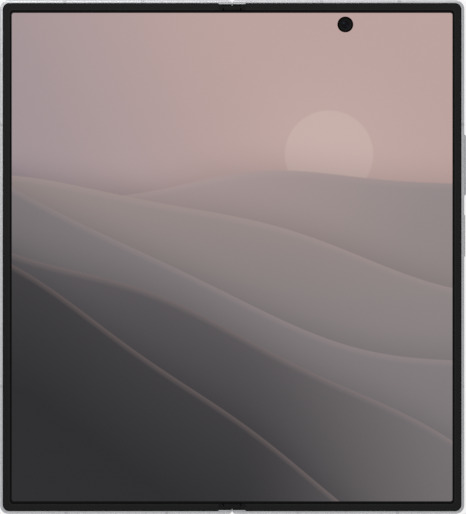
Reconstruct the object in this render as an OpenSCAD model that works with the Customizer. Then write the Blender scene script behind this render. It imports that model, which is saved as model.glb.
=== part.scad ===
// Book-type foldable smartphone, opened flat with its inner screen up.
// X runs across the phone, Y along the fold line, Z out of the inner screen.
// Heights inside the modules are measured from the back face of the two halves.
// Each half is drawn on the right of the fold line, and left() mirrors it.

/* [Size] */
// Width of the phone opened flat
open_width = 143.2; // [142.8:0.1:144]
// Height along the fold line
body_height = 158.4; // [158:0.1:159]
// Height of the metal frame
frame_top = 4.0; // [3.95:0.01:4.02]
// Radius of the frame's four outer corners
corner_r = 2.9; // [2.6:0.1:3.2]

/* [Fold] */
// Distance from the fold line to the axis of each half
pivot_x = 1.3; // [1.28:0.01:1.32]
// Height of the two fold axes
pivot_z = 3.15; // [3.13:0.01:3.17]
// Half width of the bay that the hinge lies in
fold_bay = 4.05; // [4.03:0.01:4.07]
// Distance from the fold line to the end walls' facing edges
fold_gap = 0.05; // [0.04:0.01:0.06]

/* [Frame] */
// Width of the lip seen from the front
lip_w = 0.9; // [0.85:0.05:0.95]
// Thickness of the outer wall
wall_t = 1.5; // [1.4:0.05:1.6]
// Width of an antenna break
break_w = 1.0; // [0.8:0.1:1.2]

/* [Screen] */
// Width of the raised surround
surround_w = 1.8; // [1.7:0.05:1.9]
// Top of the raised surround
surround_top = 4.2; // [4.18:0.01:4.22]
// Thickness of the folding display
display_t = 0.5; // [0.45:0.01:0.5]
// Distance of the punch hole from the fold line
punch_x = 34.9; // [34:0.1:36]
// Height of the punch hole's centre
punch_y = 71.7; // [71.4:0.1:71.9]
// Radius of the punch hole
punch_r = 2.45; // [2.4:0.01:2.5]

/* [Back] */
// Thickness of the rear panel and the cover glass
panel_t = 0.48; // [0.45:0.01:0.49]
// Width of the camera island
island_w = 17.4; // [17:0.1:18]
// Length of the camera island
island_l = 47.4; // [47:0.1:48]
// Height of the camera island above the rear panel
island_h = 1.9; // [1.8:0.05:2]
// Height of a lens ring above the island
ring_h = 0.4; // [0.3:0.05:0.5]
// Distance of the island's middle from the fold line
island_x = 57; // [56.8:0.1:57.2]
// Height of the island's middle
island_y = 51; // [50.8:0.1:51.2]
// Distance between two neighbouring lenses
lens_pitch = 14.8; // [14.7:0.1:14.9]

/* [Buttons] */
// Middle of the volume rocker
rocker_y = 28.35; // [28.2:0.05:28.5]
// Length of the volume rocker
rocker_l = 18.8; // [18.4:0.1:19]
// How far the volume rocker stands out
rocker_out = 0.6; // [0.5:0.05:0.7]
// Middle of the side key
key_y = 6.55; // [6.4:0.05:6.7]
// Length of the side key
key_l = 13.4; // [13:0.1:13.6]
// How far the side key stands out
key_out = 0.3; // [0.3:0.01:0.4]

/* [Ports] */
// Distance of the USB-C port from the fold line
usb_x = 35.8; // [35.6:0.1:36]
// Width of the USB-C port's mouth
usb_w = 8.34; // [8.3:0.01:8.4]
// Height of the USB-C port's mouth
usb_h = 2.56; // [2.5:0.01:2.56]
// Distance of the SIM tray from the fold line
sim_x = 36; // [35.8:0.1:36.2]
// Width of the SIM tray's face
sim_w = 15.2; // [15:0.1:15.4]

/* [Hidden] */
$fn = 48;
half_w = open_width / 2;
half_h = body_height / 2;
back_z = island_h + ring_h;

// Layers, from the back face upwards
bay_floor = 0.5;
plate_low = 3.1;
seat_z = 3.48;
display_z = 3.5;
display_top = display_z + display_t;
fold_display_z = display_z + 0.1;
lattice_t = 0.07;

// Outlines, as distances in from the frame's outer edge
surround_in = lip_w + 0.35;
surround_out = surround_in + surround_w;
foot_in = surround_in + 0.8;
foot_out = lip_w + 0.02;
foot_top = display_z + 0.2;
stop_top = 3.85;
panel_in = 1.1;
screen_in = foot_in + 0.1;
inner_r = 1.1;
fold_corner_r = 1.2;
back_edge_r = 0.9;
front_edge_r = 0.5;

// Hinge
hinge_wall_t = 0.7;
bay_edge = fold_bay + hinge_wall_t;
end_wall = half_h - 1.35;
bay_end = half_h - 1.25;
fold_strip_y = end_wall - 1.9;
cap_y = end_wall - 1.75;
cap_u = 2.6;
spine_r = 2.5;
spine_wall = 0.45;
spine_bore = spine_r - spine_wall;
spine_end = end_wall - 0.3;
spine_end_t = 0.7;
running = 0.05;
arc_out = spine_bore - running;
arc_in = 1.55;
arc_w = 3.6;
arc_shift = 2.3;
arc_start = 10;
arc_plate_z = 2.62;
arc_plate_t = 0.4;
arc_pad_u = 5.2;
arc_plate_u = 9.5;
arc_screw_u = 7.5;
bracket_len = 10.4;
bracket_slot = 3.8;
flange_len = 3;
flange_top = 1.7;
module_y = [-56, 0, 56];
sync_y = [-40, 40];
flex_y = [-66.5, 66.5];
flex_w = 6;
flex_z = 3.2;
flex_t = 0.12;

// Synchronising gears
teeth = 10;
gear_x = 1.9;
gear_z = 2.1;
gear_pitch_r = gear_x / 3;
gear_module = 2 * gear_pitch_r / teeth;
gear_w = 2.6;
shaft_r = 0.3;
shaft_len = 10.6;
cheek_w = 1.2;
cheek_at = 4.6;
arm_t = 0.44;
arm_w = 2;
arm_at = 2.6;
arm_u = 8.5;

// Cameras and island
lens_y = [for (i = [-1, 0, 1]) island_y + i * lens_pitch];
ring_r = 6.35;
ring_bore = 4.9;
flash_x = 42.6;
flash_y = 65.8;
flash_r = 2.3;
selfie_r = punch_r - 0.15;
cover_cam_x = 36;
cover_cam_y = 73;
cover_cam_r = 2.2;

// Antenna breaks
top_break_u = [27.5, 51.5];
bottom_break_u = [20.2, 51];
side_break_y = [-39.8, 40.8];

// Buttons
button_z = 2.05;
button_h = 1.8;
button_fit = 0.13;
switch_face = half_w - 2.35;
rocker_tab_u = half_w - 2.05;
key_tab_u = half_w - 1.85;
button_tab_t = 0.3;
button_tab_over = 0.8;

// Ports
usb_z = 2;
usb_wall = 0.2;
usb_depth = 7.3;
sim_z = 1.9;
sim_h = 1.4;
sim_tray_t = 0.7;
sim_tray_w = 12.6;
sim_tray_l = 17.4;
sim_fit = 0.12;
speaker_hole_u = [for (i = [0 : 5]) 54.2 + i * 1.9];
earpiece_hole_u = [for (i = [0 : 4]) 53.6 + i * 1.5];
hole_z = 2;
speaker_hole_r = 0.55;
mic_hole_r = 0.4;
mic_u = 26;
eject_hole_u = sim_x + 10.5;

// Boards, batteries and their screws
board_z = 1.5;
board_t = 0.6;
boss_r = 1.3;
screw_r = 0.6;
screw_head_r = 1.1;
screw_head_t = 0.4;
right_screw_at = [[14, 73.5], [43.4, 24.5], [66.5, 22.8], [14, -61.7], [42, -62.5]];
left_screw_at = [[14, 73.5], [42, 58.5], [14.4, -60.5], [26, -73]];
battery_top = 3.02;
magnet_y = [-58, -38];

// ---------------------------------------------------------------- helpers

module lift() {
  translate([0, 0, back_z]) children();
}

module left() {
  mirror([1, 0, 0]) children();
}

// A box between two opposite corners
module block(from, to) {
  translate(from) cube(to - from);
}

// A section drawn as (x, z), run along Y
module along_y(y1, y2) {
  translate([0, y2, 0]) rotate([90, 0, 0]) linear_extrude(y2 - y1) children();
}

// A section drawn as (y, z), run along X
module along_x(x1, x2) {
  translate([x1, 0, 0]) rotate([90, 0, 90]) linear_extrude(x2 - x1) children();
}

// A flat shape raised between two heights
module layer(z1, z2) {
  translate([0, 0, z1]) linear_extrude(z2 - z1) children();
}

// An upright cylinder between two heights
module post(x, y, z1, z2, r) {
  translate([x, y, z1]) cylinder(r = r, h = z2 - z1);
}

// A cylinder along Y between two places
module rod(x, y1, y2, z, r) {
  translate([x, y2, z]) rotate([90, 0, 0]) cylinder(r = r, h = y2 - y1);
}

// A flat plate from u1 to u2 and from -v to v, with radius r1 at u1 and r2 at u2
module plate(u1, u2, v, r1, r2) {
  translate([u1 + r1, -v]) square([u2 - u1 - r1 - r2, 2 * v]);
  translate([u1, r1 - v]) square([r1 + 1, 2 * (v - r1)]);
  translate([u2 - r2 - 1, r2 - v]) square([r2 + 1, 2 * (v - r2)]);
  for (s = [-1, 1]) {
    translate([u1 + r1, s * (v - r1)]) circle(r = r1);
    translate([u2 - r2, s * (v - r2)]) circle(r = r2);
  }
}

// A long rounded shape centred on (x, y), longer along Y
module pill(x, y, w, l) {
  translate([x - w / 2, y - (l - w) / 2]) square([w, l - w]);
  for (s = [-1, 1]) translate([x, y + s * (l - w) / 2]) circle(r = w / 2);
}

// A half's outline inside its outer edge, starting at u1
module inset_plate(u1, inset, r1) {
  plate(u1, half_w - inset, half_h - inset, r1, max(corner_r - inset, inner_r));
}

// A box-shaped ring with its four walls, open at top and bottom
module box_ring(from, to, t) {
  difference() {
    block(from, to);
    block([from[0] + t, from[1] + t, from[2] - 1], [to[0] - t, to[1] - t, to[2] + 1]);
  }
}

// ---------------------------------------------------------------- frames

// Section across a half, with rounded outer edges and the fold edge rolled about its axis
module side_section() {
  translate([pivot_x, 0]) square([half_w - pivot_x - 1, frame_top]);
  translate([fold_gap, 0]) square([pivot_x, pivot_z]);
  translate([pivot_x, pivot_z]) circle(r = pivot_x - fold_gap);
  translate([half_w - 2, back_edge_r]) square([2, frame_top - back_edge_r - front_edge_r]);
  translate([half_w - 2, 0]) square([2 - back_edge_r, 2]);
  translate([half_w - 2, 2]) square([2 - front_edge_r, frame_top - 2]);
  translate([half_w - back_edge_r, back_edge_r]) circle(r = back_edge_r);
  translate([half_w - front_edge_r, frame_top - front_edge_r]) circle(r = front_edge_r);
}

// Section along a half, rounded at both ends
module end_section() {
  square([2 * (half_h - 1), 2 * frame_top], center = true);
  for (s = [0, 1]) mirror([s, 0]) {
    translate([half_h - 2, back_edge_r]) square([2, frame_top - back_edge_r - front_edge_r]);
    translate([half_h - 2, 0]) square([2 - back_edge_r, 2]);
    translate([half_h - 2, 2]) square([2 - front_edge_r, frame_top - 2]);
    translate([half_h - back_edge_r, back_edge_r]) circle(r = back_edge_r);
    translate([half_h - front_edge_r, frame_top - front_edge_r]) circle(r = front_edge_r);
  }
}

module half_blank() {
  intersection() {
    layer(0, frame_top) plate(fold_gap, half_w, half_h, fold_corner_r, corner_r);
    along_y(-half_h - 1, half_h + 1) side_section();
    along_x(-1, half_w + 1) end_section();
  }
}

// Everything cut out of a half's blank but its breaks and ports
module half_hollows() {
  layer(seat_z, frame_top + 1) inset_plate(fold_bay, lip_w, 0.2);
  layer(bay_floor, plate_low) inset_plate(bay_edge, wall_t, 0.3);
  layer(-1, bay_floor) inset_plate(bay_edge - 0.35, 1, 0.8);
  block([-1, -bay_end, bay_floor], [fold_bay, bay_end, frame_top + 1]);
  step_y = half_h - 0.77;
  for (s = [0, 1]) mirror([0, s, 0])
    block([-1, end_wall - 1, frame_top - 0.15], [fold_bay, step_y, frame_top + 1]);
  for (y = flex_y) {
    block([3, y - flex_w / 2 - 0.2, plate_low - 0.05], [6.5, y + flex_w / 2 + 0.2, frame_top]);
  }
}

// Where the two hinge mechanisms pass through the hinge wall of the half on side s
module hinge_wall_slots(s) {
  for (y = module_y) {
    at = y - s * arc_shift;
    block([3, at - arc_w / 2 - 0.15, arc_plate_z - 0.05], [5, at + arc_w / 2 + 0.15, plate_low]);
    post(arc_screw_u, at, plate_low - 0.5, plate_low + 0.25, 0.5);
  }
  for (y = sync_y) block([3, y + arm_at - 1.2, 1.5], [5, y + arm_at + 1.2, 2.95]);
}

module antenna_slots() {
  w = break_w / 2;
  for (y = side_break_y) block([half_w - wall_t, y - w, -1], [half_w + 1, y + w, 5]);
  for (u = top_break_u) block([u - w, half_h - wall_t, -1], [u + w, half_h + 1, 5]);
  for (u = bottom_break_u) block([u - w, -half_h - 1, -1], [u + w, wall_t - half_h, 5]);
}

module screw_bosses(places) {
  for (p = places) difference() {
    post(p[0], p[1], board_z + board_t, plate_low + 0.1, boss_r);
    post(p[0], p[1], 0, plate_low, screw_r);
  }
}

module half_frame(s, places) {
  difference() {
    half_blank();
    half_hollows();
    hinge_wall_slots(s);
    antenna_slots();
  }
  screw_bosses(places);
}

module antenna_breaks() {
  intersection() {
    difference() {
      half_blank();
      half_hollows();
    }
    antenna_slots();
  }
}

// A hole through the bottom wall at u and height z
module wall_hole(u, z, r, s = -1) {
  rod(u, s < 0 ? -half_h - 1 : end_wall - 1, s < 0 ? -end_wall + 1 : half_h + 1, z, r);
}

module button_slot(y, l) {
  h = button_h / 2 + button_fit;
  v = l / 2 + button_fit;
  block([half_w - wall_t - 0.2, y - v, button_z - h], [half_w + 1, y + v, button_z + h]);
}

module usb_mouth(w, h, y1, y2) {
  along_y(y1, y2) translate([usb_x, usb_z]) {
    square([w - h, h], center = true);
    for (s = [-1, 1]) translate([s * (w - h) / 2, 0]) circle(r = h / 2);
  }
}

module right_frame() {
  color("silver") lift() difference() {
    half_frame(1, right_screw_at);
    button_slot(rocker_y, rocker_l);
    button_slot(key_y, key_l);
    usb_mouth(usb_w + 2 * usb_wall, usb_h + 2 * usb_wall, -half_h - 1, -half_h + 3);
    block([usb_x - 4.6, -half_h + wall_t, 2.5], [usb_x + 4.6, -half_h + 8, seat_z + 0.1]);
    post(punch_x, punch_y, plate_low - 0.5, seat_z + 0.5, punch_r + 0.1);
    for (u = speaker_hole_u) wall_hole(u, hole_z, speaker_hole_r);
    wall_hole(mic_u, hole_z, mic_hole_r);
    wall_hole(mic_u - 8, hole_z, mic_hole_r, 1);
  }
}

module left_frame() {
  color("silver") lift() left() difference() {
    half_frame(-1, left_screw_at);
    block([sim_x - sim_w / 2 - sim_fit, -half_h - 1, sim_z - sim_h / 2 - sim_fit],
          [sim_x + sim_w / 2 + sim_fit, -half_h + 2, sim_z + sim_h / 2 + sim_fit]);
    for (u = earpiece_hole_u) wall_hole(u, hole_z, 0.4, 1);
    wall_hole(eject_hole_u, hole_z, mic_hole_r);
  }
}

module right_antenna_breaks() {
  color("darkgray") lift() antenna_breaks();
}

module left_antenna_breaks() {
  color("darkgray") lift() left() antenna_breaks();
}

// ---------------------------------------------------------------- inner screen

// A strip round three sides of a half, between two insets and two heights
module strip(z1, z2, outer, inner) {
  difference() {
    layer(z1, z2) inset_plate(fold_bay, outer, 0.5);
    layer(z1 - 1, z2 + 1) inset_plate(fold_bay - 1, inner, 0.2);
  }
}

// The raised strip on its foot, and the low stops beside the hinge's end caps
module half_surround() {
  strip(display_z, foot_top, foot_out, foot_in);
  strip(display_z, surround_top, surround_in, foot_in);
  strip(display_top + 0.02, surround_top, surround_in, surround_out);
  for (s = [0, 1]) mirror([0, s, 0]) {
    block([cap_u + 0.25, cap_y, display_z], [fold_bay - 0.02, end_wall - 0.1, stop_top]);
    block([fold_bay - 0.5, half_h - foot_in + 0.05, display_z], [fold_bay + 0.8, end_wall - 0.1, stop_top]);
  }
}

module right_screen_surround() {
  color("#222222") lift() half_surround();
}

module left_screen_surround() {
  color("#222222") lift() left() half_surround();
}

module half_display() {
  layer(display_z, display_top) inset_plate(fold_bay, screen_in, 0.2);
}

module right_display() {
  color("#a09694") lift() difference() {
    half_display();
    post(punch_x, punch_y, display_z - 1, display_top + 1, punch_r);
  }
}

module left_display() {
  color("#a08c8a") lift() left() half_display();
}

module fold_display() {
  u = fold_bay - 0.02;
  color("#a09694") lift() block([-u, -fold_strip_y, fold_display_z], [u, fold_strip_y, display_top]);
}

// Thin sprung plate under the fold, thinned by rows of slits
module fold_support_lattice() {
  slit_l = 9;
  slit_w = 0.35;
  rows = 5;
  count = 13;
  top = fold_display_z - 0.01;
  color("#8a8d90") lift() difference() {
    block([-3.9, -fold_strip_y, top - lattice_t], [3.9, fold_strip_y, top]);
    for (row = [0 : rows - 1], i = [0 : count - 1]) {
      x = (row - (rows - 1) / 2) * 1.3;
      y = (i - (count - 1) / 2) * 11.2 + (row % 2 - 0.5) * 5.6;
      block([x - slit_w / 2, y - slit_l / 2, 3], [x + slit_w / 2, y + slit_l / 2, 4]);
    }
  }
}

// ---------------------------------------------------------------- back

module back_plate(t) {
  layer(0, t) inset_plate(bay_edge - 0.25, panel_in, 0.7);
}

module rear_panel() {
  color("#b9bcc0") lift() difference() {
    back_plate(panel_t);
    layer(-1, 1) pill(island_x, island_y, island_w - 2, island_l - 2);
    post(flash_x, flash_y, -1, 1, flash_r + 0.05);
  }
}

module camera_island() {
  color("#aeb1b5") lift() difference() {
    layer(-island_h, 0) pill(island_x, island_y, island_w, island_l);
    layer(-island_h + 0.8, 1) pill(island_x, island_y, island_w - 2, island_l - 2);
    for (y = lens_y) post(island_x, y, -5, 1, ring_bore + 0.4);
  }
}

module lens_rings() {
  color("#9a9da1") lift() for (y = lens_y) difference() {
    union() {
      post(island_x, y, -island_h - ring_h, -island_h, ring_r);
      post(island_x, y, -island_h, -island_h + 0.8, ring_bore + 0.35);
    }
    post(island_x, y, -5, 1, ring_bore);
  }
}

module lens_glasses() {
  color("#101418") lift() for (y = lens_y)
    post(island_x, y, -island_h - 0.2, -island_h + 0.1, ring_bore - 0.03);
}

// Three modules, each a stepped barrel on a square base
module rear_cameras() {
  color("#26282b") lift() for (y = lens_y) difference() {
    union() {
      post(island_x, y, -island_h + 0.15, 1, 4.5);
      block([island_x - 5.6, y - 5.6, 0.6], [island_x + 5.6, y + 5.6, 3]);
    }
    post(island_x, y, -5, -island_h + 0.45, 3.4);
    post(island_x, y, -5, -island_h + 0.8, 2.4);
    post(island_x, y, -5, -island_h + 1.3, 1.5);
  }
}

module flash() {
  color("#f2e9c8") lift() {
    post(flash_x, flash_y, 0, 0.5, flash_r);
    block([flash_x - 1.6, flash_y - 1.6, 0.5], [flash_x + 1.6, flash_y + 1.6, 0.68]);
  }
}

module cover_glass() {
  color("#0c0d0f") lift() left() back_plate(panel_t);
}

module cover_display() {
  color("#1b1c1f") lift() left() difference() {
    layer(0.52, 0.95) inset_plate(bay_edge + 0.4, 2.2, 0.5);
    post(cover_cam_x, cover_cam_y, 0, 2, cover_cam_r + 0.1);
  }
}

module cover_camera() {
  color("#26282b") lift() left() {
    difference() {
      post(cover_cam_x, cover_cam_y, 0.55, 2, cover_cam_r);
      post(cover_cam_x, cover_cam_y, 0, 0.8, 1.3);
      post(cover_cam_x, cover_cam_y, 0, 1.2, 0.8);
    }
    block([cover_cam_x - 3, cover_cam_y - 3, 2], [cover_cam_x + 3, cover_cam_y + 3, 3]);
  }
}

// ---------------------------------------------------------------- inside the halves

module selfie_camera() {
  color("#26282b") lift() {
    difference() {
      post(punch_x, punch_y, 2, display_top - 0.1, selfie_r);
      post(punch_x, punch_y, display_top - 0.4, 5, 1.5);
      post(punch_x, punch_y, display_top - 0.8, 5, 0.8);
    }
    block([punch_x - 3.2, punch_y - 3.2, 1], [punch_x + 3.2, punch_y + 3.2, 2.2]);
  }
}

module right_battery() {
  color("#3b3d40") lift() block([12, -50, 0.95], [66, 18, battery_top]);
}

module left_battery() {
  color("#3b3d40") lift() left() block([12, -45, 1.0], [66, 50, battery_top]);
}

module charging_coil() {
  color("#b87333") lift() translate([39, -14, 0.55]) difference() {
    cylinder(r = 22, h = 0.3);
    translate([0, 0, -1]) cylinder(r = 11, h = 2);
  }
}

module main_board() {
  z = board_z;
  color("#2f5d46") lift() difference() {
    union() {
      block([11.5, 21, z], [45.8, 76.5, z + board_t]);
      block([45, 21, z], [68, 26.5, z + board_t]);
    }
    post(punch_x, punch_y, 0, 5, 5.2);
    post(flash_x, flash_y, 0, 1, 3);
    for (i = [0 : 2]) post(right_screw_at[i][0], right_screw_at[i][1], 0, 5, screw_r + 0.05);
  }
}

module board_chips() {
  z = board_z + board_t;
  color("#202124") lift() {
    block([18, 48, z], [29, 59, z + 0.6]);
    block([31, 50, z], [38, 58, z + 0.5]);
    block([18, 30, z], [27, 38, z + 0.6]);
    block([30, 31, z], [36, 37, z + 0.5]);
  }
}

// Thin metal cans over the two groups of chips
module shield_cans() {
  z = board_z + board_t;
  t = 0.15;
  color("#c4c6c8") lift() for (y = [[45, 62], [27.5, 42]]) {
    box_ring([16, y[0], z], [40.5, y[1], plate_low - 0.1], t);
    block([16, y[0], plate_low - 0.1 - t], [40.5, y[1], plate_low - 0.1]);
  }
}

module usb_board() {
  color("#2f5d46") lift() difference() {
    block([11.5, -71.5, board_z], [44.5, -60, board_z + board_t]);
    for (i = [3 : 4]) post(right_screw_at[i][0], right_screw_at[i][1], 0, 5, screw_r + 0.05);
  }
}

// Stadium shell with a closed back and the contact tongue
module usb_c_port() {
  mouth = -half_h + 0.35;
  back = mouth + usb_depth;
  color("#b5b8bb") lift() {
    difference() {
      usb_mouth(usb_w + 2 * usb_wall, usb_h + 2 * usb_wall, mouth, back);
      usb_mouth(usb_w, usb_h, mouth - 1, back - 0.6);
    }
    block([usb_x - 3.35, mouth + 0.7, usb_z - 0.35], [usb_x + 3.35, back - 0.5, usb_z + 0.35]);
  }
}

module loudspeaker() {
  color("#2a2b2e") lift() block([53, -77.2, 0.7], [66, -57, 2.95]);
}

module vibration_motor() {
  color("#a6a8ab") lift() block([25, -59, 0.75], [39, -52, 2.95]);
}

module microphones() {
  color("#c4c6c8") lift() {
    block([mic_u - 1.6, -77.5, 1.5], [mic_u + 1.6, -75, 2.5]);
    block([mic_u - 9.6, 76.6, 1.5], [mic_u - 6.4, 77.6, 2.5]);
  }
}

// Strip with three domes, two behind the rocker and one behind the side key
module key_switches() {
  color("#d7b56d") lift() {
    block([switch_face - 1.1, 0, 0.9], [switch_face - 0.7, 38, plate_low]);
    for (y = [rocker_y - 6.5, rocker_y + 6.5, key_y])
      translate([switch_face - 0.7, y, button_z]) rotate([0, 90, 0]) cylinder(r = 0.9, h = 0.7);
  }
}

// Bars that hold the folded phone shut
module magnets() {
  for (y = magnet_y) block([67.2, y, 1], [69.4, y + 14, 2.9]);
}

module right_magnets() {
  color("#8d9094") lift() magnets();
}

module left_magnets() {
  color("#8d9094") lift() left() magnets();
}

// Upper board of the left half, beside the cover camera
module left_upper_board() {
  color("#2f5d46") lift() left() difference() {
    block([11.5, 55, board_z], [50, 76.5, board_z + board_t]);
    post(cover_cam_x, cover_cam_y, 0, 5, 5);
    for (i = [0 : 1]) post(left_screw_at[i][0], left_screw_at[i][1], 0, 5, screw_r + 0.05);
  }
}

module left_lower_board() {
  color("#2f5d46") lift() left() difference() {
    block([11.5, -75.5, board_z], [28.2, -57, board_z + board_t]);
    for (i = [2 : 3]) post(left_screw_at[i][0], left_screw_at[i][1], 0, 5, screw_r + 0.05);
  }
}

module earpiece_speaker() {
  color("#2a2b2e") lift() left() block([52, 63, 1.1], [61.5, 77.2, 2.95]);
}

// Metal channel that the tray runs in
module sim_reader() {
  w = sim_tray_w / 2 + sim_fit;
  h = sim_tray_t / 2 + sim_fit;
  y1 = -end_wall + 0.5;
  y2 = -end_wall + sim_tray_l + 1;
  color("#c4c6c8") lift() left() difference() {
    block([sim_x - w - 0.3, y1, sim_z - h - 0.2], [sim_x + w + 0.3, y2, sim_z + h + 0.2]);
    block([sim_x - w, y1 - 1, sim_z - h], [sim_x + w, y2 - 0.4, sim_z + h]);
  }
}

module board_screws(places) {
  for (p = places) {
    post(p[0], p[1], board_z - screw_head_t, board_z, screw_head_r);
    post(p[0], p[1], board_z - 0.1, plate_low, screw_r);
  }
}

module arc_screws(s) {
  for (y = module_y) {
    post(arc_screw_u, y - s * arc_shift, arc_plate_z - 0.35, arc_plate_z, 0.9);
    post(arc_screw_u, y - s * arc_shift, arc_plate_z - 0.1, plate_low + 0.25, 0.5);
  }
}

module right_screws() {
  color("#7d8084") lift() {
    board_screws(right_screw_at);
    arc_screws(1);
  }
}

module left_screws() {
  color("#7d8084") lift() left() {
    board_screws(left_screw_at);
    arc_screws(-1);
  }
}

// Ends of the two cables, stepping down from under the fold to the boards
module flex_tails() {
  w = flex_w / 2;
  low = board_z + board_t + 0.35;
  for (y = flex_y) {
    block([fold_bay + 0.02, y - w, flex_z], [6.2, y + w, flex_z + flex_t]);
    block([6.2 - flex_t, y - w, low], [6.2, y + w, flex_z + flex_t]);
    block([6.2 - flex_t, y - w, low], [16, y + w, low + flex_t]);
    block([12.6, y - w + 0.5, low - 0.35], [15.6, y + w - 0.5, low]);
  }
}

module right_flex_tails() {
  color("#8a5a2b") lift() flex_tails();
}

module left_flex_tails() {
  color("#8a5a2b") lift() left() flex_tails();
}

// ---------------------------------------------------------------- hinge

// Section of the spine's outside or inside: two quarter rounds and a flat between them
module spine_section(r, top = pivot_z) {
  intersection() {
    union() {
      for (s = [-1, 1]) translate([s * pivot_x, pivot_z]) circle(r = r);
      translate([-pivot_x, pivot_z - r]) square([2 * pivot_x, 2 * r]);
    }
    translate([-9, 0]) square([18, top]);
  }
}

module hinge_spine() {
  color("silver") lift() difference() {
    along_y(-spine_end, spine_end) spine_section(spine_r);
    along_y(-spine_end + spine_end_t, spine_end - spine_end_t) spine_section(spine_bore, pivot_z + 0.1);
    for (side = [0, 1]) mirror([side, 0, 0]) {
      s = side == 0 ? 1 : -1;
      for (y = module_y) {
        at = y - s * arc_shift;
        block([2.8, at - arc_w / 2 - 0.15, arc_plate_z - 0.12], [5, at + arc_w / 2 + 0.15, 5]);
      }
      for (y = sync_y) block([2.8, y + arm_at - 1.2, 1.8], [5, y + arm_at + 1.2, 5]);
    }
    for (p = hinge_screw_places()) post(p[0], p[1], 0.9, 2, 0.5);
  }
}

// A rotator: an arc that slides round the half's axis, with a plate screwed under the half
module arcs(s) {
  for (y = module_y) {
    at = y - s * arc_shift;
    difference() {
      union() {
        along_y(at - arc_w / 2, at + arc_w / 2) translate([pivot_x, pivot_z]) intersection() {
          difference() {
            circle(r = arc_out);
            circle(r = arc_in);
          }
          polygon([[0, 0], [4, -4 * tan(arc_start)], [4, -4], [-4, -4], [-4, -2.8]]);
        }
        block([pivot_x + 1.65, at - arc_w / 2, arc_plate_z],
              [arc_plate_u, at + arc_w / 2, arc_plate_z + arc_plate_t]);
        block([arc_pad_u, at - arc_w / 2, arc_plate_z + 0.1],
              [arc_plate_u, at + arc_w / 2, plate_low]);
      }
      post(arc_screw_u, at, 0, 5, 0.5);
    }
  }
}

module right_arcs() {
  color("#9fa2a6") lift() arcs(1);
}

module left_arcs() {
  color("#9fa2a6") lift() left() arcs(-1);
}

function hinge_screw_places() = [for (y = module_y, s = [-1, 1]) [0, y + s * (bracket_len + flange_len) / 2]];

// Blocks in the spine with a round track for each rotator
module hinge_brackets() {
  color("#7f8286") lift() difference() {
    for (y = module_y) {
      along_y(y - bracket_len / 2, y + bracket_len / 2) spine_section(spine_bore, plate_low);
      along_y(y - bracket_len / 2 - flange_len, y + bracket_len / 2 + flange_len)
        spine_section(spine_bore, flange_top);
    }
    for (y = module_y, s = [-1, 1]) {
      at = y - s * arc_shift;
      along_y(at - bracket_slot / 2, at + bracket_slot / 2) translate([s * pivot_x, pivot_z]) difference() {
        circle(r = spine_bore + 0.02);
        circle(r = arc_in - running);
      }
    }
    for (p = hinge_screw_places()) post(p[0], p[1], 0, 3, 0.5);
  }
}

module hinge_screws() {
  color("#5d6064") lift() for (p = hinge_screw_places()) {
    post(p[0], p[1], flange_top, flange_top + 0.35, 0.9);
    post(p[0], p[1], 0.9, flange_top + 0.1, 0.5);
  }
}

// Pairs of cheeks that carry the four gear shafts
module gear_frames() {
  color("#7f8286") lift() difference() {
    for (y = sync_y, s = [-1, 1]) {
      at = y + s * cheek_at;
      along_y(at - cheek_w / 2, at + cheek_w / 2) spine_section(spine_bore, 2.9);
    }
    for (y = sync_y, i = [-3, -1, 1, 3])
      rod(i * gear_x / 3, y - 9, y + 9, gear_z, shaft_r + 0.03);
  }
}

// Section of a gear, its teeth turned by the given angle
module gear_section(turn) {
  top = gear_pitch_r + 0.75 * gear_module;
  root = gear_pitch_r - 1.15 * gear_module;
  circle(r = root);
  for (i = [0 : teeth - 1]) rotate(turn + i * 360 / teeth)
    polygon([[0, -0.14], [gear_pitch_r, -0.08], [top, -0.045], [top, 0.045], [gear_pitch_r, 0.08], [0, 0.14]]);
}

// One gear on its shaft in each of the two synchronisers
module gear_set(x, turn) {
  for (y = sync_y) {
    along_y(y - gear_w / 2, y + gear_w / 2) translate([x, gear_z]) gear_section(turn);
    rod(x, y - shaft_len / 2, y + shaft_len / 2, gear_z, shaft_r);
  }
}

// The outer gears carry arms that reach into the halves
module swing_gear(turn) {
  gear_set(gear_x, turn);
  for (y = sync_y) {
    at = y + arm_at;
    rod(gear_x, at - arm_w / 2, at + arm_w / 2, gear_z, 0.5);
    block([gear_x, at - arm_w / 2, gear_z - arm_t / 2], [arm_u, at + arm_w / 2, gear_z + arm_t / 2]);
  }
}

module right_swing_gear() {
  color("#b08d57") lift() swing_gear(180 / teeth);
}

module left_swing_gear() {
  color("#b08d57") lift() left() swing_gear(0);
}

module right_idler_gear() {
  color("#b08d57") lift() gear_set(gear_x / 3, 0);
}

module left_idler_gear() {
  color("#b08d57") lift() gear_set(-gear_x / 3, 180 / teeth);
}

module hinge_end_caps() {
  color("#19191b") lift() for (s = [0, 1]) mirror([0, s, 0])
    block([-cap_u, cap_y, pivot_z], [cap_u, spine_end, stop_top]);
}

// Cables that cross the fold between the spine and the lattice
module hinge_flex_cables() {
  w = flex_w / 2;
  u = fold_bay;
  color("#8a5a2b") lift() for (y = flex_y) block([-u, y - w, flex_z], [u, y + w, flex_z + flex_t]);
}

// ---------------------------------------------------------------- buttons and tray

// A key's bar with chamfered ends, and a tab behind that keeps it in its slot
module button_bar(y, l, tab_u, out) {
  top = half_w + out;
  c = 0.45;
  v = l / 2;
  translate([0, y, 0]) {
    layer(button_z - button_h / 2, button_z + button_h / 2)
      polygon([[tab_u, -v], [top - c, -v], [top, c - v], [top, v - c], [top - c, v], [tab_u, v]]);
    block([tab_u, -v - button_tab_over, button_z - 1.1],
          [tab_u + button_tab_t, v + button_tab_over, button_z + 1]);
  }
}

module volume_rocker() {
  color("#c9cbce") lift() button_bar(rocker_y, rocker_l, rocker_tab_u, rocker_out);
}

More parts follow.
